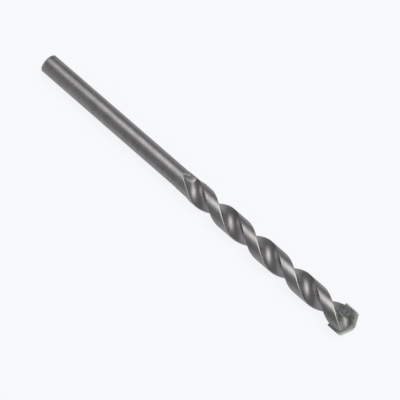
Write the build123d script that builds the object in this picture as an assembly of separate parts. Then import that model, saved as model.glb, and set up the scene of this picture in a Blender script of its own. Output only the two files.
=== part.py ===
"""Masonry drill bit lying on its side: a rolled steel body with a carbide plate brazed across its head.

The body is one piece of steel. Its shank is plain and round. Two right-hand flutes are rolled into the
rest, and the rolling swells the lands past the shank. The plate stands proud of the lands, so that it
cuts the hole and the steel runs clear. Sizes are in millimetres and angles in degrees.

The bit's axis is X: the shank's end face is at x = 0 and the point at x = overall_length. Z is up.
"""

import os
from math import atan, cos, degrees, pi, radians, sin, sqrt, tan

from build123d import *

# Whole bit
overall_length = 100.0
cutting_diameter = 7.0  # across the carbide plate
roll_as_laid = 20.0  # how far the plate's width is turned out of level as the bit lies

# Shank
shank_diameter = 5.1
shank_length = 44.8  # from the end face to where the bit starts to swell
shank_chamfer = 0.35

# Flutes and lands
land_diameter = 5.85
web_thickness = 2.2
flute_curve = 4.6  # radius of each flute's hollow, seen along the bit
flute_lead = 24.0  # advance along the axis for one turn
flare_length = 5.4  # stretch over which the bit swells from the shank's size to that of the lands
flare_start = 0.12  # slope at which that curve leaves the shank
flare_end = 0.25  # slope at which it meets the lands
flute_inset = 1.3  # from the start of the swelling to where the flutes' floors leave the surface
runout_radius = 3.0  # curve on which the flute floors climb out at the shank, along the helix
runout_dip = 0.15  # how far that curve ends below the flute floor, so that it crosses the floor cleanly
runout_overlap = 0.6  # how far the steel under that curve reaches into the web

# Head
point_angle = 130.0
plate_thickness = 1.6
plate_side = 3.7  # straight height of the plate's sides, from its foot to the roof
plate_relief = 20.0  # fall of each roof facet behind its cutting edge
cheek_setback = 0.8  # how far the steel stops short of the point
flute_ahead = 60.0  # turn from the plate to the flute's centre, at half the height of the plate's sides
braze_film = 0.08

# Sizes that follow
shank_radius = shank_diameter / 2
land_radius = land_diameter / 2
core_radius = web_thickness / 2
cutting_radius = cutting_diameter / 2
turn_per_mm = 360 / flute_lead
helix_angle = degrees(atan(pi * shank_diameter / flute_lead))
runout_depth = shank_radius - core_radius
runout_reach = sqrt(runout_depth * (2 * runout_radius - runout_depth)) * cos(radians(helix_angle))
full_depth_x = shank_length + flute_inset + runout_reach
roof_slope = 1 / tan(radians(point_angle / 2))
plate_foot_x = overall_length - cutting_radius * roof_slope - plate_side
slot_width = plate_thickness + 2 * braze_film
slot_floor_x = plate_foot_x - braze_film


def section_plane(x):
    """The plane across the bit at x. Its own X runs along the plate's width, and its normal to the point."""
    along_plate = Vector(0, cos(radians(roll_as_laid)), sin(radians(roll_as_laid)))
    return Plane(origin=(x, 0, 0), x_dir=along_plate, z_dir=(1, 0, 0))


def flute_section():
    """A round section, larger than the lands, with two hollow flutes. The first flute's centre is at angle 0."""
    hollow_centre = core_radius + flute_curve
    hollows = Locations((hollow_centre, 0), (-hollow_centre, 0))
    with BuildSketch() as sketch:
        Circle(2 * land_radius)
        with hollows:
            Circle(flute_curve, mode=Mode.SUBTRACT)
    return sketch.sketch


def land_envelope():
    """The round outline the flutes are cut into: the flare from the shank, the lands and the cone of the point."""
    flare_end_x = shank_length + flare_length
    cone_start = overall_length - cheek_setback - land_radius * roof_slope
    with BuildSketch() as sketch:
        with BuildLine():
            Line((shank_length, 0), (shank_length, shank_radius))
            Spline(
                (shank_length, shank_radius),
                (flare_end_x, land_radius),
                tangents=((1, flare_start), (1, flare_end)),
            )
            Polyline(
                (flare_end_x, land_radius),
                (cone_start, land_radius),
                (overall_length - cheek_setback, 0),
                (shank_length, 0),
            )
        make_face()
    return revolve(sketch.sketch, Axis.X)


def flute_direction(x):
    """Angle from the plate's width to the first flute's centre at x."""
    return flute_ahead + turn_per_mm * (x - plate_foot_x - plate_side / 2)


def fluted_bar():
    """The lands and flutes: the cross-section twisted right-handed from the end of the shank on."""
    length = overall_length - shank_length
    section = section_plane(shank_length) * Rot(Z=flute_direction(shank_length)) * flute_section()
    return Solid.extrude_linear_with_rotation(
        section.face(), (shank_length, 0, 0), (length, 0, 0), turn_per_mm * length
    )


def runout_cut(turn):
    """What a flute's cut clears at its start: a barrel square to the helix, and the level floor ahead of it."""
    floor = core_radius - runout_dip
    width = 2 * land_diameter
    barrel = Pos(floor + runout_radius, 0, 0) * Rot(X=90) * Cylinder(runout_radius, width)
    ahead = Pos(floor, 0, 0) * Box(runout_radius, width, width, align=(Align.MIN, Align.CENTER, Align.MIN))
    square_to_helix = Rot(Z=flute_direction(full_depth_x) + turn) * Rot(X=-helix_angle)
    return section_plane(full_depth_x) * square_to_helix * (barrel + ahead)


def runout():
    """The steel under the start of the flutes, where their floors climb out to the shank."""
    length = full_depth_x + runout_overlap - shank_length
    stub = Cylinder(2 * land_radius, length, align=(Align.CENTER, Align.CENTER, Align.MIN))
    return section_plane(shank_length) * stub - runout_cut(0) - runout_cut(180)


def shank():
    """The plain round shank, chamfered at its end."""
    stub = Cylinder(shank_radius, shank_length, align=(Align.CENTER, Align.CENTER, Align.MIN))
    end_face = stub.faces().sort_by(Axis.Z)[0]
    return section_plane(0) * chamfer(end_face.edges(), shank_chamfer)


def head_block(shape, foot_x):
    """A block or cylinder that stands on the section at foot_x and reaches past the point."""
    return section_plane(foot_x) * shape(overall_length + 1 - foot_x)


def slab(thickness, foot_x):
    """A slab through the head, wider than the bit, in the plate's place."""
    return head_block(
        lambda height: Box(
            2 * cutting_diameter, thickness, height, align=(Align.CENTER, Align.CENTER, Align.MIN)
        ),
        foot_x,
    )


def carbide_plate():
    """The plate: sides ground round to the cutting diameter, and a roof that falls behind each edge."""
    ground_sides = head_block(
        lambda height: Cylinder(cutting_radius, height, align=(Align.CENTER, Align.CENTER, Align.MIN)),
        plate_foot_x,
    )
    plate = slab(plate_thickness, plate_foot_x) & ground_sides
    fall = tan(radians(plate_relief))
    facet = Plane(origin=(0, 0, 0), x_dir=(1, 0, -roof_slope), z_dir=(roof_slope, -fall, 1))
    for turn in (0, 180):
        at_point = section_plane(overall_length) * Rot(Z=turn) * facet.location
        plate = split(plate, bisect_by=Plane(at_point), keep=Keep.BOTTOM)
    return plate


def drill_body():
    """The steel in one piece, before its slot is cut."""
    rolled = (fluted_bar() + runout()) & land_envelope()
    return shank() + rolled


blank = drill_body()
slot = slab(slot_width, slot_floor_x)
nodes = {
    "drill_body": blank - slot,
    "carbide_plate": carbide_plate(),
    "braze_film": (blank & slot) - slab(plate_thickness, plate_foot_x),
}

os.makedirs("parts", exist_ok=True)
for name, shape in nodes.items():
    export_step(shape, f"parts/{name}.step")
    print(name, "volume", round(shape.volume, 2), "valid", shape.is_valid)
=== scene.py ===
"""Masonry drill bit on a pale floor: the visual model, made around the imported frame.

The bit's axis is X, from the shank's end face at x = 0 to the point, and Z is up. Blender's lengths are in
metres; the sizes named here are in millimetres and angles in degrees, and MM turns the one into the other.
Sections across the bit are complex numbers in the plate's own axes, with its width as the real part.
"""

import logging
import math
from dataclasses import dataclass
from enum import Enum

import bpy
import numpy as np
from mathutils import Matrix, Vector


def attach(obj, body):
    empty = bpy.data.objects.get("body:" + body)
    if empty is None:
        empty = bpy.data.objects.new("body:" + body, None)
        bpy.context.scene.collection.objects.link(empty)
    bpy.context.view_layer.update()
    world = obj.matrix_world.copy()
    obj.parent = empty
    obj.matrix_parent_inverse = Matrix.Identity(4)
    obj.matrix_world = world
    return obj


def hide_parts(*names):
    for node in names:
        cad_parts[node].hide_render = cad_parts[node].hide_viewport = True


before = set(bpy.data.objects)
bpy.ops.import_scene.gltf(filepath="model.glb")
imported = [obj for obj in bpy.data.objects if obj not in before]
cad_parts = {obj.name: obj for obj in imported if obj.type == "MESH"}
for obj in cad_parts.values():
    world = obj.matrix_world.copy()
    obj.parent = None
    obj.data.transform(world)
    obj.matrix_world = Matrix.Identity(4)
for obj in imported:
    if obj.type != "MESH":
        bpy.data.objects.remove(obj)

LOG = logging.getLogger("masonry_bit")
MM = 0.001
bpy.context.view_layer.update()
OUTLINE_STEPS = 4096  # even steps in which an outline is worked out, before its points are chosen
OUTLINE_TURN = 0.3  # the largest turn between two chosen points, in radians

Piece = bpy.types.Object
Material = bpy.types.Material
Tree = bpy.types.NodeTree
Socket = bpy.types.NodeSocket
Array = np.ndarray
Colour = tuple[float, float, float, float]


class Slot(Enum):
    """The record's material slots."""

    STEEL = "rolled_steel"
    CARBIDE = "tungsten_carbide"
    BRAZE = "braze"


def linear(colour: str) -> Colour:
    """Turn an sRGB hex colour into the linear values that a shader takes.

    Args:
        colour: Six hex digits after a hash sign.

    Returns:
        Red, green, blue and an alpha of 1.
    """
    channels = np.array([int(colour[i : i + 2], 16) for i in (1, 3, 5)]) / 255
    light = np.where(channels <= 0.04045, channels / 12.92, ((channels + 0.055) / 1.055) ** 2.4)
    return (*light.tolist(), 1.0)


def grey(level: float) -> Colour:
    """Give a neutral linear colour of that level."""
    return (level, level, level, 1.0)


def add_node(
    tree: Tree, kind: str, values: dict | None = None, links: dict | None = None, **settings: object
) -> bpy.types.Node:
    """Add a node with its settings, its constant inputs and its links.

    Args:
        tree: The node tree.
        kind: The node's type name.
        values: Constant values by input name or index.
        links: Output sockets by the input that they feed.
        settings: The node's own properties.

    Returns:
        The new node.
    """
    node = tree.nodes.new(kind)
    for name, setting in settings.items():
        setattr(node, name, setting)
    for socket, value in (values or {}).items():
        node.inputs[socket].default_value = value
    for socket, source in (links or {}).items():
        tree.links.new(source, node.inputs[socket])
    return node


def new_material(name: str) -> tuple[Material, Tree]:
    """Make an empty node material.

    Args:
        name: The material's name.

    Returns:
        The material and its empty node tree.
    """
    material = bpy.data.materials.new(name)
    material.use_nodes = True
    material.node_tree.nodes.clear()
    return material, material.node_tree


def ramp_between(tree: Tree, source: Socket, low: float, high: float) -> Socket:
    """Rise smoothly from 0 to 1 while a value goes from low to high.

    Args:
        tree: The node tree.
        source: The value.
        low: Where the rise starts.
        high: Where the rise ends.

    Returns:
        The socket of the result.
    """
    limits = {"From Min": low, "From Max": high}
    ramp = add_node(tree, "ShaderNodeMapRange", limits, {"Value": source}, interpolation_type="SMOOTHSTEP")
    return ramp.outputs["Result"]


def mixed(tree: Tree, factor: Socket, first: Socket | str, second: Socket | str) -> Socket:
    """Mix two colours by a factor.

    Args:
        tree: The node tree.
        factor: The share of the second colour.
        first: A colour socket, or a hex colour.
        second: A colour socket, or a hex colour.

    Returns:
        The socket of the mixed colour.
    """
    node = add_node(tree, "ShaderNodeMix", data_type="RGBA")
    inputs = {socket.name: socket for socket in node.inputs if socket.enabled}
    tree.links.new(factor, inputs["Factor"])
    for name, colour in (("A", first), ("B", second)):
        if isinstance(colour, str):
            inputs[name].default_value = linear(colour)
        else:
            tree.links.new(colour, inputs[name])
    return next(socket for socket in node.outputs if socket.enabled)


@dataclass(frozen=True)
class RolledSteel:
    """Rolled carbon steel, blasted after rolling: a dark satin metal with a fine even grain.

    The grain spreads each reflection into a soft band. The lines left by rolling run along the flutes, the
    trailing edges carry a painted highlight in a lighter colour, and the heat of the brazing has stained the
    head.
    """

    base: str = "#8b898b"
    dull: str = "#7f7d7c"
    # painted highlight: the lighter colour that the trailing edges take where they bend
    heel_highlight: str = "#b8b8b5"
    stained: str = "#73776e"
    roughness: float = 0.42
    roughness_stray: tuple[float, float] = (-0.02, 0.03)  # how far it strays from patch to patch
    patch_mm: float = 2.6
    patch_ramp: tuple[float, float] = (0.35, 0.75)  # levels of the noise between which a patch sets in
    grain_mm: float = 0.16  # the blasted grain is near 0.05 mm, drawn coarser so that it shows
    grain_depth_mm: float = 0.004
    grain_strength: float = 0.6
    streak_mm: float = 0.22  # width of the rolling lines
    streak_stretch: float = 12.0  # how many times longer than wide they are
    stain_start_mm: float = 92.5
    stain_end_mm: float = 96.0

    def colour(self, tree: Tree, where: Socket, patches: Socket) -> Socket:
        """Lay the dull patches, the stain of the heat and the trailing edges' painted highlight over the base
        colour.

        Args:
            tree: The node tree.
            where: Object coordinates.
            patches: The noise that tells the patches apart.

        Returns:
            The socket of the colour.
        """
        colour = mixed(tree, ramp_between(tree, patches, *self.patch_ramp), self.base, self.dull)
        along = add_node(tree, "ShaderNodeSeparateXYZ", links={"Vector": where}).outputs["X"]
        heated = ramp_between(tree, along, self.stain_start_mm * MM, self.stain_end_mm * MM)
        stain = add_node(tree, "ShaderNodeMath", links={0: heated, 1: patches}, operation="MULTIPLY")
        colour = mixed(tree, stain.outputs[0], colour, self.stained)
        # painted highlight: the trailing edges turn lighter by the share worked out along with the rings
        highlight_share = add_node(tree, "ShaderNodeAttribute", attribute_name="heel_highlight_share").outputs["Fac"]
        return mixed(tree, highlight_share, colour, self.heel_highlight)

    def relief(self, tree: Tree, where: Socket, along_flutes: Socket) -> Socket:
        """Raise the blasted grain and the lines left by rolling.

        Args:
            tree: The node tree.
            where: Object coordinates, for the grain.
            along_flutes: The UV map, for the lines.

        Returns:
            The socket of the bumped normal.
        """
        width, length = self.streak_mm * MM, self.streak_stretch * self.streak_mm * MM
        scale = {"Scale": (1 / width, 1 / length, 1.0)}
        stretched = add_node(tree, "ShaderNodeMapping", scale, {"Vector": along_flutes}).outputs["Vector"]
        lines = {"Scale": 1.0, "Detail": 2.0, "Roughness": 0.5}
        streaks = add_node(tree, "ShaderNodeTexNoise", lines, {"Vector": stretched}).outputs["Fac"]
        grit = {"Scale": 1 / (self.grain_mm * MM), "Detail": 2.0, "Roughness": 0.6}
        grain = add_node(tree, "ShaderNodeTexNoise", grit, {"Vector": where}).outputs["Fac"]
        height = add_node(tree, "ShaderNodeMath", links={0: streaks, 1: grain}, operation="ADD").outputs[0]
        depth = {"Strength": self.grain_strength, "Distance": self.grain_depth_mm * MM}
        return add_node(tree, "ShaderNodeBump", depth, {"Height": height}).outputs["Normal"]

    def material(self) -> Material:
        """Build the node material.

        Returns:
            The material.
        """
        material, tree = new_material("rolled_steel_satin")
        place = add_node(tree, "ShaderNodeTexCoord").outputs
        where = place["Object"]
        pattern = {"Scale": 1 / (self.patch_mm * MM), "Detail": 3.0, "Roughness": 0.6}
        patches = add_node(tree, "ShaderNodeTexNoise", pattern, {"Vector": where}).outputs["Fac"]
        smoother, rougher = (self.roughness + stray for stray in self.roughness_stray)
        limits = {"To Min": smoother, "To Max": rougher}
        look = {
            "Base Color": self.colour(tree, where, patches),
            "Roughness": add_node(tree, "ShaderNodeMapRange", limits, {"Value": patches}).outputs["Result"],
            "Normal": self.relief(tree, where, place["UV"]),
        }
        metal = add_node(tree, "ShaderNodeBsdfPrincipled", {"Metallic": 1.0}, look)
        add_node(tree, "ShaderNodeOutputMaterial", links={"Surface": metal.outputs["BSDF"]})
        return material


@dataclass(frozen=True)
class SinteredCarbide:
    """Sintered tungsten carbide, ground on its faces: lighter and cooler than the steel, finely matt.

    The roof and a band below it carry a painted highlight, a paler colour, and are less glossy.
    """

    base: str = "#a6abab"
    clouded: str = "#7b8283"
    # painted highlight of the roof and the band below it
    roof_highlight: str = "#c8cec0"
    roughness: float = 0.3
    fresh_roughness: float = 0.5
    cloud_mm: float = 0.72  # the sintered grain is microns across, and what shows of it is its clouds
    cloud_ramp: tuple[float, float] = (0.35, 0.7)  # levels of the noise between which a cloud sets in
    mark_mm: float = 0.1  # spacing of the grinding marks, which run across the plate
    mark_stretch: float = 15.0  # how many times longer than wide they are
    mark_depth_mm: float = 0.003
    mark_strength: float = 0.6

    def marks(self, tree: Tree, where: Socket) -> Socket:
        """Raise the grinding marks.

        Args:
            tree: The node tree.
            where: Object coordinates.

        Returns:
            The socket of the bumped normal.
        """
        width, length = self.mark_mm * MM, self.mark_stretch * self.mark_mm * MM
        scale = {"Scale": (1 / width, 1 / length, 1 / length)}
        stretched = add_node(tree, "ShaderNodeMapping", scale, {"Vector": where}).outputs["Vector"]
        height = add_node(tree, "ShaderNodeTexNoise", {"Scale": 1.0}, {"Vector": stretched}).outputs["Fac"]
        depth = {"Strength": self.mark_strength, "Distance": self.mark_depth_mm * MM}
        return add_node(tree, "ShaderNodeBump", depth, {"Height": height}).outputs["Normal"]

    def material(self) -> Material:
        """Build the node material.

        Returns:
            The material.
        """
        material, tree = new_material("tungsten_carbide_ground")
        where = add_node(tree, "ShaderNodeTexCoord").outputs["Object"]
        pattern = {"Scale": 1 / (self.cloud_mm * MM), "Detail": 4.0}
        clouds = add_node(tree, "ShaderNodeTexNoise", pattern, {"Vector": where}).outputs["Fac"]
        # painted highlight: the roof and a band below it turn paler, and rougher
        roof_highlight_share = add_node(tree, "ShaderNodeAttribute", attribute_name="roof_highlight_share").outputs["Fac"]
        colour = mixed(tree, ramp_between(tree, clouds, *self.cloud_ramp), self.base, self.clouded)
        limits = {"To Min": self.roughness, "To Max": self.fresh_roughness}
        look = {
            "Base Color": mixed(tree, roof_highlight_share, colour, self.roof_highlight),
            "Roughness": add_node(tree, "ShaderNodeMapRange", limits, {"Value": roof_highlight_share}).outputs["Result"],
            "Normal": self.marks(tree, where),
        }
        metal = add_node(tree, "ShaderNodeBsdfPrincipled", {"Metallic": 1.0}, look)
        add_node(tree, "ShaderNodeOutputMaterial", links={"Surface": metal.outputs["BSDF"]})
        return material


@dataclass(frozen=True)
class DullBraze:
    """Brazing brass that has run and cooled: a pale greenish grey metal, lumpy and dulled by flux."""

    base: str = "#9a9b8e"
    oxide: str = "#6f716a"
    oxide_ramp: tuple[float, float] = (0.4, 0.65)  # levels of the noise between which the oxide sets in
    roughness: float = 0.45
    lump_mm: float = 0.3
    lump_depth_mm: float = 0.02
    lump_strength: float = 0.7

    def material(self) -> Material:
        """Build the node material.

        Returns:
            The material.
        """
        material, tree = new_material("brazing_brass_dull")
        where = add_node(tree, "ShaderNodeTexCoord").outputs["Object"]
        pattern = {"Scale": 1 / (self.lump_mm * MM), "Detail": 3.0}
        lumps = add_node(tree, "ShaderNodeTexNoise", pattern, {"Vector": where}).outputs["Fac"]
        depth = {"Strength": self.lump_strength, "Distance": self.lump_depth_mm * MM}
        look = {
            "Base Color": mixed(tree, ramp_between(tree, lumps, *self.oxide_ramp), self.base, self.oxide),
            "Normal": add_node(tree, "ShaderNodeBump", depth, {"Height": lumps}).outputs["Normal"],
        }
        bare = {"Metallic": 1.0, "Roughness": self.roughness}
        metal = add_node(tree, "ShaderNodeBsdfPrincipled", bare, look)
        add_node(tree, "ShaderNodeOutputMaterial", links={"Surface": metal.outputs["BSDF"]})
        return material


@dataclass(frozen=True)
class PaleFloor:
    """A pale matt sheet, bright enough that the photograph shows it almost white."""

    matt: str = "#e8e9ec"
    seen: str = "#f9fafc"
    seen_strength: float = 0.91
    shade_share: float = 0.08  # how much of what the camera sees is lit, and so darkens in the shadow
    tooth_mm: float = 2.5
    tooth_depth_mm: float = 0.1
    tooth_strength: float = 0.05

    def material(self) -> Material:
        """Build the node material: matt to the light, and near white to the camera and in reflections.

        Returns:
            The material.
        """
        material, tree = new_material("pale_matt_sheet")
        rays = add_node(tree, "ShaderNodeLightPath").outputs
        looked_at = rays["Is Camera Ray"]
        for ray in ("Is Glossy Ray", "Is Transmission Ray"):
            either = add_node(tree, "ShaderNodeMath", links={0: looked_at, 1: rays[ray]}, operation="MAXIMUM")
            looked_at = either.outputs[0]
        where = add_node(tree, "ShaderNodeTexCoord").outputs["Object"]
        pattern = {"Scale": 1 / (self.tooth_mm * MM)}
        tooth = add_node(tree, "ShaderNodeTexNoise", pattern, {"Vector": where}).outputs["Fac"]
        depth = {"Strength": self.tooth_strength, "Distance": self.tooth_depth_mm * MM}
        normal = add_node(tree, "ShaderNodeBump", depth, {"Height": tooth}).outputs["Normal"]
        matt = add_node(tree, "ShaderNodeBsdfDiffuse", {"Color": linear(self.matt)}, {"Normal": normal})
        lit = add_node(tree, "ShaderNodeBsdfDiffuse", {"Color": grey(self.shade_share)}).outputs[0]
        pale = {"Color": linear(self.seen), "Strength": self.seen_strength}
        glow = add_node(tree, "ShaderNodeEmission", pale).outputs[0]
        seen = add_node(tree, "ShaderNodeAddShader", links={0: lit, 1: glow}).outputs[0]
        choice = {0: looked_at, 1: matt.outputs[0], 2: seen}
        surface = add_node(tree, "ShaderNodeMixShader", links=choice).outputs[0]
        add_node(tree, "ShaderNodeOutputMaterial", links={"Surface": surface})
        return material


def soft_max(first: Array, second: Array, blend: Array | float) -> Array:
    """Take the larger of two values, with the crease between them rounded.

    Formula: half of the sum plus the root of the squared difference and the squared blend.
    """
    return (first + second + np.sqrt((first - second) ** 2 + blend**2)) / 2


def lengths_along(path: Array) -> Array:
    """Measure the length from a path's start to each of its points, complex or with coordinates in rows."""
    steps = np.diff(path, axis=0).reshape(len(path) - 1, -1)
    return np.append(0, np.cumsum(np.linalg.norm(steps, axis=1)))


def smoothed(path: Array, length: float, easing: float) -> Array:
    """Smooth closed outlines along themselves by a bell curve.

    Formula: a bell curve of half the easing radius is itself one over the waves in the outline, so each wave
    is multiplied by its height there.

    Args:
        path: Evenly divided outlines, along the last axis.
        length: The length of an outline.
        easing: About the radius that a sharp corner gets.

    Returns:
        The smoothed outlines, as complex numbers.
    """
    count = path.shape[-1]
    waves = np.fft.fftfreq(count, length / count)
    return np.fft.ifft(np.fft.fft(path) * np.exp(-((np.pi * easing * waves) ** 2) / 2))


def bending(path: Array) -> Array:
    """Tell how sharply closed outlines bend outwards at each point, as one over the radius."""
    step = np.roll(path, -1, axis=-1) - path
    return np.angle(step / np.roll(step, 1, axis=-1)) / np.abs(step)


def spread(path: Array, pitch: float) -> Array:
    """Choose points of a finely divided closed outline, closer where it bends.

    Formula: they lie at even steps of the length over the pitch plus the turning over the turn step.

    Args:
        path: The outline as complex numbers.
        pitch: The widest spacing of the points.

    Returns:
        The indices of the chosen points.
    """
    step = np.abs(np.roll(path, -1) - path)
    share = np.append(0, np.cumsum(step * (1 / pitch + np.abs(bending(path)) / OUTLINE_TURN)))
    points = int(math.ceil(share[-1]))
    chosen = np.interp(np.arange(points) * share[-1] / points, share, np.arange(len(share)))
    return np.round(chosen).astype(int)


def inward(outline: Array) -> Array:
    """Give the unit normals of a closed counter-clockwise outline, pointing inwards."""
    along = np.roll(outline, -1) - np.roll(outline, 1)
    return 1j * along / np.abs(along)


def in_scene(name: str, data: bpy.types.ID) -> Piece:
    """Make an object of a mesh, a light or a camera, and link it to the scene.

    Args:
        name: The object's name.
        data: What it shows.

    Returns:
        The object, at the origin.
    """
    thing = bpy.data.objects.new(name, data)
    bpy.context.scene.collection.objects.link(thing)
    return thing


def map_flutes(mesh: bpy.types.Mesh, across: Array, along: Array, around: float) -> None:
    """Give a mesh the UV map that patterns along the flutes follow, in metres.

    Formula: each corner lies at its point's place along the section's outline and along the axis. In a face
    that closes the outline, the corners at its start count as past its end.

    Args:
        mesh: The mesh.
        across: The points' places along the outline.
        along: The points' places along the axis.
        around: The outline's length.
    """
    loops = np.empty(len(mesh.loops), np.int64)
    starts = np.empty(len(mesh.polygons), np.int64)
    sizes = np.empty(len(mesh.polygons), np.int64)
    mesh.loops.foreach_get("vertex_index", loops)
    mesh.polygons.foreach_get("loop_start", starts)
    mesh.polygons.foreach_get("loop_total", sizes)
    turn = across[loops]
    highest = np.repeat(np.maximum.reduceat(turn, starts), sizes)
    turn = np.where(highest - turn > around / 2, turn + around, turn)
    layer = mesh.uv_layers.new(name="along_flutes")
    layer.data.foreach_set("uv", (np.stack([turn, along[loops]], axis=-1) * MM).ravel())


def skin(
    name: str,
    rings: Array,
    poles: tuple[Array, Array] | None,
    across: Array | None = None,
    attributes: dict[str, Array] | None = None,
) -> Piece:
    """Join rings of points into one closed surface whose faces point outwards.

    Each ring runs counter-clockwise seen from the next one. The first and the last are closed by a fan to a
    pole, or joined to each other where there are no poles.

    Args:
        name: The object's name.
        rings: Points in millimetres, as rings by points by three.
        poles: The two closing points, or None for a surface that closes on itself.
        across: Where each point of a ring lies along its outline, in millimetres, for the UV map.
        attributes: Values for each point of the rings, by attribute name.

    Returns:
        The object, linked to the scene, smooth shaded.
    """
    rows, columns = rings.shape[:2]
    corner = np.arange(rows * columns).reshape(rows, columns)
    if poles is None:
        corner = np.vstack([corner, corner[:1]])
    beside = np.roll(corner, -1, axis=1)
    quads = np.stack([corner[:-1], beside[:-1], beside[1:], corner[1:]], axis=-1).reshape(-1, 4)
    points = rings.reshape(-1, 3)
    faces = quads.tolist()
    if poles is not None:
        points = np.vstack([points, *poles])
        low, high = rows * columns, rows * columns + 1
        faces += np.stack([np.full(columns, low), beside[0], corner[0]], axis=-1).tolist()
        faces += np.stack([np.full(columns, high), corner[-1], beside[-1]], axis=-1).tolist()
    mesh = bpy.data.meshes.new(name)
    mesh.from_pydata((points * MM).tolist(), [], faces)
    mesh.update()
    at_poles = [0.0] * (len(points) - rows * columns)
    for label, values in (attributes or {}).items():
        layer = mesh.attributes.new(label, "FLOAT", "POINT")
        padded = np.append(np.broadcast_to(values, (rows, columns)).ravel(), at_poles)
        layer.data.foreach_set("value", padded.astype(np.float32))
    if across is not None:
        map_flutes(mesh, np.append(np.tile(across, rows), at_poles), points[:, 0], across[-1] + across[1])
    mesh.shade_smooth()
    return in_scene(name, mesh)


def apply_modifiers(piece: Piece) -> None:
    """Put the result of a piece's modifiers into its mesh, and take the modifiers off.

    Args:
        piece: The piece.
    """
    shaped = piece.evaluated_get(bpy.context.evaluated_depsgraph_get())
    mesh = bpy.data.meshes.new_from_object(shaped)
    piece.modifiers.clear()
    piece.data = mesh


def keep_sharp(piece: Piece, angle: float) -> None:
    """Shade a piece smooth, apart from edges that bend by more than an angle in degrees."""
    piece.data.shade_smooth()
    piece.data.set_sharp_from_angle(angle=math.radians(angle))


def dress(piece: Piece, finish: Material) -> None:
    """Give a piece one material, in place of any that it has."""
    piece.data.materials.clear()
    piece.data.materials.append(finish)


@dataclass
class Head:
    """Where the plate sits in the steel, shared by the pieces that meet there."""

    point: float = 100.0
    point_angle: float = 130.0
    roll: float = 20.0  # turn of the plate's width out of level
    cutting_diameter: float = 7.0
    plate_thickness: float = 1.6
    plate_side: float = 3.7  # straight height of the plate's sides
    film: float = 0.08  # braze between the plate and the steel

    @property
    def slope(self) -> float:
        """How far the roof falls along the axis for each millimetre outwards."""
        return 1 / math.tan(math.radians(self.point_angle / 2))

    @property
    def foot(self) -> float:
        """Where the plate's foot lies along the axis."""
        return self.point - self.cutting_diameter / 2 * self.slope - self.plate_side

    def placed(self, along: Array | float, section: Array) -> Array:
        """Place points of sections in the frame.

        Formula: the section is turned by the roll, its real part is Y and its imaginary part Z.

        Args:
            along: The points' places along the axis.
            section: The points in the plate's own axes, as complex numbers.

        Returns:
            The points, with three coordinates each.
        """
        turned = section * np.exp(1j * math.radians(self.roll))
        return np.stack([np.broadcast_to(along, turned.shape), turned.real, turned.imag], axis=-1)


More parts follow.
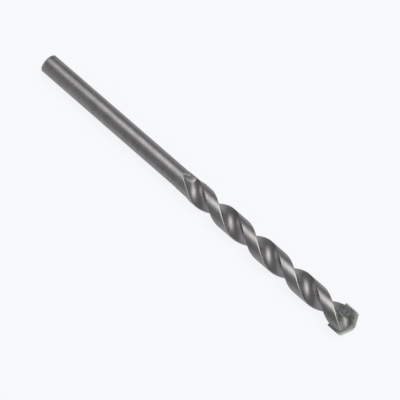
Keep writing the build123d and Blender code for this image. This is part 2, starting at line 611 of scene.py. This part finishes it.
@dataclass
class FlutedBody:
    """The steel in one piece: shank, run-out, two flutes and the cheeks that hold the plate."""

    head: Head
    shank_diameter: float = 5.1
    shank_length: float = 44.8
    chamfer: float = 0.35
    end_rounding: float = 0.06
    land_diameter: float = 5.85
    web: float = 2.2
    flute_curve: float = 4.6  # radius of each flute's hollow
    lead: float = 24.0  # advance along the axis for one turn
    flare: float = 5.4  # stretch over which the bit swells from the shank's size to that of the lands
    flare_start: float = 0.12  # slope at which that curve leaves the shank
    flare_end: float = 0.25  # slope at which it meets the lands
    flute_inset: float = 1.3  # from the start of the flare to where the flutes' floors leave the surface
    runout_radius: float = 3.0
    runout_dip: float = 0.15  # how far the run-out's curve ends below the flutes' floors
    runout_overlap: float = 0.6  # how far the steel under that curve reaches into the web
    runout_fillet: float = 0.4
    fillet_fade: float = 2.0  # stretch over which that fillet dies out at the run-out's end
    runout_passes: int = 6  # how often each row of the flare is averaged with its neighbours
    cheek_setback: float = 0.8
    flute_ahead: float = 60.0  # turn from the plate to the first flute, half way up the plate's sides
    edge_radius: float = 0.09  # of each flute's leading edge
    heel_radius: float = 0.38  # of its trailing edge, which the rolling leaves rounder
    edge_contrast: float = 2.0  # how quickly the one rounding gives way to the other round the bit
    crease_blend: float = 0.04
    sharp_angle: float = 40.0
    cutter_reach: float = 1.0  # how far the slot's cutter stands past the point
    finer: int = 8  # how many times finer the section is before it is divided evenly
    outline_pitch: float = 0.09
    end_steps: tuple[float, ...] = (1.5, 0.8, 0.25)  # how far from its rim the end face has rows
    shank_row: float = 1.0
    runout_row: float = 0.09
    flute_row: float = 0.22
    crease_margin: float = 0.5  # how far the close rows go past the chamfer and the flare
    rim_margin: float = 0.3  # how far before the cone's rim they start again
    rim_row: float = 0.04
    rim_rows: int = 6
    cone_margin: float = 0.2  # how far past its rim the cone's rows stay close
    cone_rows: tuple[float, float] = (0.03, 0.06)
    tip_margin: float = 0.02  # the last row stops at least this far before the cone's tip

    @property
    def tilt(self) -> float:
        """The angle between the flutes and the axis on the shank's surface, in radians."""
        return math.atan(math.pi * self.shank_diameter / self.lead)

    @property
    def full_depth(self) -> float:
        """Where along the axis the flutes' centre lines reach their full depth.

        Formula: along the helix, the run-out's circle takes the root of the depth times the difference
        between twice the radius and the depth. Times the cosine of the tilt, that lies along the axis.

        Returns:
            The place.
        """
        depth = (self.shank_diameter - self.web) / 2
        reach = math.sqrt(depth * (2 * self.runout_radius - depth))
        return self.shank_length + self.flute_inset + reach * math.cos(self.tilt)

    def flute_turn(self, x: Array) -> Array:
        """Direction of the first flute's centre at each row, in radians from the plate's width."""
        from_plate = x - self.head.foot - self.head.plate_side / 2
        return math.radians(self.flute_ahead) + 2 * math.pi / self.lead * from_plate

    def hollow(self, direction: Array) -> Array:
        """Work out the distance from the axis to the flutes' hollows.

        Formula: a line from the axis meets the hollow's circle at its centre's distance times the cosine,
        less the root of the squared radius less the squared distance of the centre from the line.

        Args:
            direction: Directions from the first flute's centre, in radians.

        Returns:
            The distances, past the lands where a direction meets no hollow.
        """
        centre = self.web / 2 + self.flute_curve
        inside = self.flute_curve**2 - (centre * np.sin(direction)) ** 2
        reach = np.abs(centre * np.cos(direction)) - np.sqrt(np.maximum(inside, 0))
        return np.where(inside > 0, reach, self.land_diameter)

    def under_runout(self, x: Array, direction: Array) -> Array:
        """Work out the distance from the axis to the steel under the start of the flutes.

        Formula: the cut is a barrel square to the helix and the level floor ahead of it. A line from the axis
        enters the barrel at the smaller root of a quadratic, and meets the floor at its height over the
        cosine. The nearer of the two ends the steel, for each flute.

        Args:
            x: The rows' places along the axis, as a column.
            direction: Directions from the first flute's centre in that row.

        Returns:
            The distances, large where nothing is cut.
        """
        floor, far = self.web / 2 - self.runout_dip, 2 * self.land_diameter
        high = floor + self.runout_radius
        ahead = (x - self.full_depth) * math.cos(self.tilt)
        nearest = np.full(np.broadcast_shapes(x.shape, direction.shape), far)
        for turn in (0.0, math.pi):
            away = direction + 2 * math.pi / self.lead * (x - self.full_depth) + turn
            upward, lean = np.cos(away), np.sin(away) * math.sin(self.tilt)
            squared, linear_part = upward**2 + lean**2, ahead * lean - high * upward
            inside = linear_part**2 - squared * (ahead**2 + high**2 - self.runout_radius**2)
            barrel = (-linear_part - np.sqrt(np.maximum(inside, 0))) / squared
            barrel = np.where((inside > 0) & (linear_part < 0), barrel, far)
            level = floor / np.maximum(upward, floor / far)
            level = np.where(ahead + level * lean >= 0, level, far)
            nearest = np.minimum(nearest, np.minimum(barrel, level))
        return nearest

    def lanes(self) -> tuple[Array, Array, float]:
        """Divide the fluted section evenly along its length, and choose the lanes that the surface keeps.

        Returns:
            The directions of the even steps, the chosen steps and the section's length.
        """
        fine = np.linspace(0, 2 * math.pi, self.finer * OUTLINE_STEPS + 1)
        section = np.minimum(self.hollow(fine), self.land_diameter / 2) * np.exp(1j * fine)
        length = lengths_along(section)
        even = np.arange(OUTLINE_STEPS) * length[-1] / OUTLINE_STEPS
        direction = np.interp(even, length, fine)
        section = smoothed(np.interp(even, length, section), length[-1], self.edge_radius)
        return direction, spread(section, self.outline_pitch), float(length[-1])

    def shank_end(self) -> tuple[Array, Array]:
        """Lay out the rows of the end face and its chamfer, whose two creases are rounded.

        Returns:
            The rows' places along the axis, and their radii.
        """
        shank, chamfer, ease = self.shank_diameter / 2, self.chamfer, self.end_rounding
        slant = ease * math.sqrt(0.5)
        rows = [(0, shank - chamfer - step) for step in (*self.end_steps, ease)]
        rows += [(slant / 3, shank - chamfer + slant / 3), (slant, shank - chamfer + slant)]
        rows += [(chamfer - slant, shank - slant), (chamfer - slant / 3, shank - slant / 4)]
        rows.append((chamfer + ease, shank))
        return tuple(np.array(rows).T)

    def past_shank(self) -> Array:
        """List the rows past the shank, closer on the flare and by the rim of the cone.

        Returns:
            Their places along the axis.
        """
        settled = self.shank_length + self.flare + self.crease_margin
        tip = self.head.point - self.cheek_setback
        rim = tip - self.land_diameter / 2 * self.head.slope
        close, wide = self.cone_rows
        return np.concatenate(
            [
                np.arange(self.shank_length + self.runout_row, settled, self.runout_row),
                np.arange(settled, rim - self.rim_margin, self.flute_row),
                rim + self.rim_row * np.arange(-self.rim_rows, 0),
                np.arange(rim, rim + self.cone_margin, close),
                np.arange(rim + self.cone_margin, tip - self.tip_margin, wide),
            ]
        )

    def stations(self) -> tuple[Array, Array]:
        """List the rows along the bit, and the radius of the round outline that the flutes are cut into.

        Formula: the outline follows the chamfered end, the shank, a cubic curve that swells to the lands with
        a given slope at each end, the lands and the cone of the point, whose rim is rounded.

        Returns:
            The rows' places along the axis, and the radii there.
        """
        shank, land = self.shank_diameter / 2, self.land_diameter / 2
        end, end_radius = self.shank_end()
        plain_start, plain_rows = self.chamfer + self.crease_margin, int(self.shank_length / self.shank_row)
        plain = np.linspace(plain_start, self.shank_length, plain_rows)
        beyond = self.past_shank()
        share = np.clip((beyond - self.shank_length) / self.flare, 0, 1)
        swelling = (
            shank
            + (land - shank) * share**2 * (3 - 2 * share)
            + self.flare_start * self.flare * share * (1 - share) ** 2
            - self.flare_end * self.flare * share**2 * (1 - share)
        )
        cone = (self.head.point - self.cheek_setback - beyond) / self.head.slope
        ceiling = -soft_max(-swelling, -cone, self.crease_blend)
        radii = np.concatenate([end_radius, np.full(len(plain), shank), ceiling])
        return np.concatenate([end, plain, beyond]), radii

    def rings(self) -> tuple[Array, Array, Array, Array]:
        """Work out every point of the steel's surface before the slot is cut.

        Formula: in each row and direction the steel reaches to the hollow of the flute, or further out to the
        steel under the run-out, but not past the round outline. The rows are smoothed along themselves, which
        rounds their corners, the trailing edge of each flute more than its leading edge, and turn by one turn
        per lead from the start of the flutes on. The trailing side of either flute is where the sine of twice
        the direction is positive.

        Returns:
            The rings as complex sections, the rows' places, the share of the painted highlight on the
            trailing edges and the places of the lanes along the section.
        """
        direction, lanes, length = self.lanes()
        x, ceiling = self.stations()
        rows = x[:, None]
        runout_end = self.full_depth + self.runout_overlap
        reach = np.broadcast_to(self.hollow(direction), (len(x), len(direction)))
        fillet = self.runout_fillet * np.clip((runout_end - rows) / self.fillet_fade, 0, 1)
        filled = soft_max(reach, self.under_runout(rows, direction), fillet)
        reach = np.where(rows < runout_end, filled, reach)
        reach = np.where(rows > self.shank_length, np.minimum(reach, ceiling[:, None]), ceiling[:, None])
        trailing = np.clip(0.5 + self.edge_contrast * np.sin(2 * direction), 0, 1)
        outline = reach * np.exp(1j * direction)
        crisp, worn = (smoothed(outline, length, radius) for radius in (self.edge_radius, self.heel_radius))
        outline = crisp * (1 - trailing) + worn * trailing
        near = np.flatnonzero((x > self.shank_length) & (x < self.shank_length + self.flare))
        for _ in range(self.runout_passes):
            outline[near] = (outline[near - 1] + 2 * outline[near] + outline[near + 1]) / 4
        # share of the painted highlight: how sharply each trailing edge bends, times the heel's radius
        heel_highlight = np.clip(bending(outline) * self.heel_radius * trailing, 0, 1)
        highlight_share = np.where(rows > self.shank_length, heel_highlight, 0)[:, lanes]
        turned = outline[:, lanes] * np.exp(1j * self.flute_turn(np.maximum(rows, self.shank_length)))
        return turned, x, highlight_share, lanes * length / OUTLINE_STEPS

    def slot_cutter(self) -> Piece:
        """Make the block that cuts the slot: as thick as the plate and its braze, and wider than the bit.

        Returns:
            The block, linked to the scene.
        """
        half = self.head.plate_thickness / 2 + self.head.film
        reach = self.head.cutting_diameter
        corners = np.array([-reach - 1j * half, reach - 1j * half, reach + 1j * half, -reach + 1j * half])
        low, high = self.head.foot - self.head.film, self.head.point + self.cutter_reach
        rings = self.head.placed(np.array([low, high])[:, None], np.broadcast_to(corners, (2, 4)))
        return skin("slot_cutter", rings, (np.array([low, 0, 0]), np.array([high, 0, 0])))

    def build(self, finish: Material) -> Piece:
        """Make the steel, cut the plate's slot in it and dress it.

        Args:
            finish: The steel's material.

        Returns:
            The piece.
        """
        rings, x, highlight_share, across = self.rings()
        poles = (np.array([0.0, 0, 0]), np.array([self.head.point - self.cheek_setback, 0, 0]))
        steel = skin("steel_body", self.head.placed(x[:, None], rings), poles, across, {"heel_highlight_share": highlight_share})
        cutter = self.slot_cutter()
        slot = steel.modifiers.new("slot", "BOOLEAN")
        slot.object, slot.operation, slot.solver = cutter, "DIFFERENCE", "EXACT"
        apply_modifiers(steel)
        bpy.data.objects.remove(cutter)
        keep_sharp(steel, self.sharp_angle)
        dress(steel, finish)
        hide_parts("drill_body")
        return steel


@dataclass
class CarbidePlate:
    """The plate: two flat faces, sides ground to the cutting diameter and a relieved roof."""

    head: Head
    relief: float = 20.0  # fall of each roof facet behind its cutting edge
    corner_rounding: float = 0.05
    edge_break: float = 0.05
    edge_share: float = 0.3  # where a broken edge has its middle ring
    ridge_rounding: float = 0.03
    roof_highlight_band: float = 1.3  # how far down the faces the painted highlight of the roof reaches
    sharp_angle: float = 25.0
    arc_steps: int = 400
    outline_pitch: float = 0.12
    foot_shares: tuple[float, ...] = (0.3, 0.7, 1.0)
    side_rings: int = 10
    roof_rings: int = 19

    def outline(self) -> Array:
        """Lay out the plate's section: two straight faces joined by arcs of the cutting circle.

        Returns:
            The section, counter-clockwise, with its corners rounded.
        """
        reach, half = self.head.cutting_diameter / 2, self.head.plate_thickness / 2
        edge = np.angle(math.sqrt(reach**2 - half**2) + 1j * half)
        side = reach * np.exp(1j * np.linspace(-edge, edge, self.arc_steps))
        outline = np.concatenate([side, -side, side[:1]])
        length = lengths_along(outline)
        even = np.arange(OUTLINE_STEPS) * length[-1] / OUTLINE_STEPS
        outline = smoothed(np.interp(even, length, outline), length[-1], self.corner_rounding)
        return outline[spread(outline, self.outline_pitch)]

    def roof(self, section: Array) -> Array:
        """Work out where the roof lies over the section.

        Formula: the fall outwards less the fall behind the cutting edge is taken from the point's place. It
        changes sign at the ridge, where its size is rounded.

        Args:
            section: Points of the section.

        Returns:
            The roof's places along the axis.
        """
        fall = math.tan(math.radians(self.relief))
        away = self.head.slope * section.real - fall * section.imag
        return self.head.point - np.sqrt(away**2 + self.ridge_rounding**2)

    def levels(self) -> list[tuple[Array, Array | float]]:
        """Lay out the plate's rings: over its foot, up its sides and over its roof.

        Formula: the section is drawn in by the broken edges at the foot and the eaves, and shrinks towards
        the axis on the foot and the roof. The rings of the sides divide the way to the eaves evenly.

        Returns:
            For each ring its section, and its points' places along the axis.
        """
        outline, foot, ease, part = self.outline(), self.head.foot, self.edge_break, self.edge_share
        drawn_in = outline + inward(outline) * ease
        halfway = outline + inward(outline) * ease * part
        low, eaves = foot + ease, self.roof(outline) - ease
        up_sides = np.linspace(0, 1, self.side_rings + 1)[1:]
        to_ridge = np.linspace(1, 0, self.roof_rings + 2)[1:-1]
        levels = [(drawn_in * share, foot) for share in self.foot_shares]
        levels += [(halfway, foot + ease * part), (outline, low)]
        levels += [(outline, low + (eaves - low) * share) for share in up_sides]
        levels += [(halfway, self.roof(halfway) - ease * part), (drawn_in, self.roof(drawn_in))]
        levels += [(drawn_in * share, self.roof(drawn_in * share)) for share in to_ridge]
        return levels

    def build(self, finish: Material) -> Piece:
        """Make the plate and dress it.

        Args:
            finish: The plate's material.

        Returns:
            The piece.
        """
        levels = self.levels()
        rings = np.stack([self.head.placed(x, section) for section, x in levels])
        below_roof = np.stack([self.roof(section) - x for section, x in levels])
        # share of the painted highlight: whole on the roof, fading down the faces
        roof_highlight_share = np.clip(1 - below_roof / self.roof_highlight_band, 0, 1)
        ridge = self.head.point - self.ridge_rounding
        poles = (np.array([self.head.foot, 0, 0]), np.array([ridge, 0, 0]))
        plate = skin("cutting_plate", rings, poles, attributes={"roof_highlight_share": roof_highlight_share})
        keep_sharp(plate, self.sharp_angle)
        dress(plate, finish)
        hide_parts("carbide_plate")
        return plate


@dataclass
class BrazeSeam:
    """The braze that stands in the corner between the plate and the steel, in one closed bead."""

    head: Head
    body: FlutedBody
    bead_radius: float = 0.13
    unevenness: float = 0.25
    widest: float = 2.0  # the bead strays from its radius by up to this many times the unevenness
    seam_easing: float = 0.3183
    lump_easing: float = 0.2865
    lean: float = 0.6  # how far the bead's outward side leans towards the point
    least_reach: float = 0.15  # the seam stops where the steel stands out less than this beside the plate
    bead_step: float = 0.07
    points_round: int = 14
    seed: int = 7

    def crossing(self, section: Array, level: float) -> tuple[float, float]:
        """Find where a ring of the steel crosses a line along the plate's width, outermost on each side.

        Args:
            section: The ring, complex, in the plate's own axes.
            level: The line's place across the plate.

        Returns:
            The lowest and the highest place along the width.
        """
        following = np.roll(section, -1)
        crosses = (section.imag - level) * (following.imag - level) < 0
        share = (level - section.imag[crosses]) / (following.imag[crosses] - section.imag[crosses])
        places = section.real[crosses] + share * (following.real[crosses] - section.real[crosses])
        return float(places.min()), float(places.max())

    def corner(self) -> Array:
        """Follow the corner round the plate: up one side of each face, over the cheek and down the other.

        Returns:
            Points along the axis, the plate's width and its thickness.
        """
        rings, x, _, _ = self.body.rings()
        half = self.head.plate_thickness / 2 + self.head.film / 2
        keep = (x > self.head.foot) & (np.abs(rings).max(axis=1) > half + self.least_reach)
        legs = []
        for level, rising, falling in ((half, 1, 0), (-half, 0, 1)):
            spots = np.array([self.crossing(ring, level) for ring in rings[keep]])
            beside = np.full(keep.sum(), level)
            legs.append(np.column_stack([x[keep], spots[:, rising], beside]))
            legs.append(np.column_stack([x[keep], spots[:, falling], beside])[::-1])
        return np.vstack(legs)

    def build(self, finish: Material) -> Piece:
        """Make the bead and dress it.

        Formula: the seam is the corner's line, divided evenly and smoothed along itself. Round each of its
        points lies a circle square to it, whose radius follows smoothed random numbers.

        Args:
            finish: The braze's material.

        Returns:
            The piece.
        """
        corner = self.corner()
        closed = np.vstack([corner, corner[:1]])
        length = lengths_along(closed)
        count = int(length[-1] / self.bead_step)
        even = np.arange(count) * length[-1] / count
        seam = np.array([np.interp(even, length, coordinate) for coordinate in closed.T])
        seam = smoothed(seam, length[-1], self.seam_easing).real.T
        along = np.roll(seam, -1, axis=0) - np.roll(seam, 1, axis=0)
        along /= np.linalg.norm(along, axis=1)[:, None]
        outward = seam * np.array([0.0, 1.0, 1.0]) + np.array([self.lean, 0, 0])
        outward -= along * (outward * along).sum(axis=1)[:, None]
        outward /= np.linalg.norm(outward, axis=1)[:, None]
        sideways = np.cross(along, outward)
        random = np.random.default_rng(self.seed)
        lumps = smoothed(random.normal(size=count), length[-1], self.lump_easing).real
        lumps = np.clip(lumps / lumps.std(), -self.widest, self.widest)
        radius = (self.bead_radius * (1 + self.unevenness * lumps))[:, None, None]
        angle = (2 * np.pi * np.arange(self.points_round) / self.points_round)[:, None]
        circle = outward[:, None] * np.cos(angle) + sideways[:, None] * np.sin(angle)
        rings = seam[:, None] + circle * radius
        placed = self.head.placed(rings[..., 0], rings[..., 1] + 1j * rings[..., 2])
        bead = skin("braze_bead", placed, None)
        dress(bead, finish)
        return bead


@dataclass(frozen=True)
class Lamp:
    """A soft rectangular lamp."""

    name: str
    towards: tuple[float, float, float]  # direction from the middle of the bit to the lamp
    size_m: tuple[float, float]
    watts: float


@dataclass
class Studio:
    """The pale floor, the soft lamps, the room and the camera."""

    middle_mm: float = 50.0  # the middle of the bit along its axis
    sensor_mm: float = 36.0
    lens_mm: float = 117.0
    camera_azimuth: float = 41.93
    camera_elevation: float = 75.70
    camera_distance_mm: float = 315.2
    aim_mm: tuple[float, float, float] = (51.85, -0.93, -0.15)
    clip_m: tuple[float, float] = (0.01, 10.0)
    floor_size_mm: float = 3000.0
    end_stretch_mm: float = 30.0  # stretch of the shank in which the rim that meets the floor is looked for
    end_preference: float = 0.01  # a point further along counts as this much higher, so the rim comes first
    balance_mm: float = 48.0  # the centre of mass, which the land that meets the floor lies beyond
    room_tint: str = "#fafaff"
    room_strength: float = 0.34
    backdrop: str = "#f9fafc"
    lamp_tint: str = "#fffefa"
    lamp_distance_m: float = 0.7
    lamps: tuple[Lamp, ...] = (
        Lamp("overhead", (0.1, 0.28, 0.95), (0.7, 0.5), 3.7),
        Lamp("tip_side", (0.75, 0.6, 0.25), (0.3, 0.3), 0.5),
        Lamp("shank_side", (-0.75, -0.64, 0.15), (0.3, 0.3), 1.2),
    )

    def camera(self) -> None:
        """Put the camera at the photograph's place, level, aimed near the middle of the bit."""
        azimuth, elevation = math.radians(self.camera_azimuth), math.radians(self.camera_elevation)
        level = math.cos(elevation)
        back = Vector((math.sin(azimuth) * level, -math.cos(azimuth) * level, math.sin(elevation)))
        data = bpy.data.cameras.new("camera")
        data.sensor_width, data.lens = self.sensor_mm, self.lens_mm
        data.clip_start, data.clip_end = self.clip_m
        eye = in_scene("camera", data)
        eye.location = Vector(self.aim_mm) * MM + back * self.camera_distance_mm * MM
        eye.rotation_euler = (-back).to_track_quat("-Z", "Y").to_euler()
        bpy.context.scene.camera = eye

    def floor(self, steel: Piece, finish: Material) -> None:
        """Lay the floor where the bit rests: on the rim of its end face and on its first land.

        Formula: the floor passes through the lowest point of the end's rim and leans, by well under a degree,
        until it touches the lowest line of the lands beyond the centre of mass.

        Args:
            steel: The steel that rests on it.
            finish: The floor's material.
        """
        points = np.empty(len(steel.data.vertices) * 3)
        steel.data.vertices.foreach_get("co", points)
        points = points.reshape(-1, 3)
        shank = points[points[:, 0] < self.end_stretch_mm * MM]
        rim = shank[np.argmin(shank[:, 2] + shank[:, 0] * self.end_preference)].tolist()
        beyond = points[points[:, 0] > self.balance_mm * MM]
        slope = float(np.min((beyond[:, 2] - rim[2]) / (beyond[:, 0] - rim[0])))
        half, middle = self.floor_size_mm * MM / 2, self.middle_mm * MM
        corners = [(middle + x, y) for x, y in ((-half, -half), (half, -half), (half, half), (-half, half))]
        mesh = bpy.data.meshes.new("floor")
        mesh.from_pydata([(x, y, rim[2] + slope * (x - rim[0])) for x, y in corners], [], [(0, 1, 2, 3)])
        mesh.materials.append(finish)
        in_scene("floor", mesh)
        LOG.info("floor leans %.2f degrees", math.degrees(math.atan(slope)))

    def hang(self, lamp: Lamp) -> None:
        """Hang a lamp so that it faces the middle of the bit.

        Args:
            lamp: The lamp.
        """
        data = bpy.data.lights.new(lamp.name, "AREA")
        data.shape, data.energy = "RECTANGLE", lamp.watts
        data.size, data.size_y = lamp.size_m
        data.color = linear(self.lamp_tint)[:3]
        away = Vector(lamp.towards).normalized()
        hung = in_scene(lamp.name, data)
        hung.location = Vector((self.middle_mm * MM, 0, 0)) + away * self.lamp_distance_m
        hung.rotation_euler = (-away).to_track_quat("-Z", "Y").to_euler()
        hung.visible_camera = False

    def surroundings(self) -> None:
        """Make the room round the floor: dim overhead, and white where the camera sees it."""
        world = bpy.data.worlds.new("room")
        world.use_nodes = True
        tree = world.node_tree
        tree.nodes.clear()
        seen = add_node(tree, "ShaderNodeLightPath").outputs["Is Camera Ray"]
        room, white = (
            add_node(tree, "ShaderNodeBackground", {"Color": linear(colour), "Strength": strength})
            for colour, strength in ((self.room_tint, self.room_strength), (self.backdrop, 1.0))
        )
        choice = {0: seen, 1: room.outputs[0], 2: white.outputs[0]}
        surface = add_node(tree, "ShaderNodeMixShader", links=choice).outputs[0]
        add_node(tree, "ShaderNodeOutputWorld", links={"Surface": surface})
        bpy.context.scene.world = world

    def build(self, steel: Piece) -> None:
        """Set the whole stage.

        Args:
            steel: The steel that rests on the floor.
        """
        bpy.context.scene.view_settings.view_transform = "Standard"
        self.floor(steel, PaleFloor().material())
        for lamp in self.lamps:
            self.hang(lamp)
        self.surroundings()
        self.camera()


def main() -> None:
    """Build the bit piece by piece, dress it and set the stage."""
    logging.basicConfig(level=logging.INFO, format="%(name)s: %(message)s")
    head = Head()
    body = FlutedBody(head)
    steel = body.build(RolledSteel().material())
    plate = CarbidePlate(head).build(SinteredCarbide().material())
    braze = DullBraze().material()
    bead = BrazeSeam(head, body).build(braze)
    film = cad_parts["braze_film"]
    dress(film, braze)
    for piece in (steel, plate, bead):
        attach(piece, "root")
    for piece in (steel, plate, bead, film):
        LOG.info("%s: %d faces", piece.name, len(piece.data.polygons))
    Studio().build(steel)


if __name__ == "__main__":
    main()
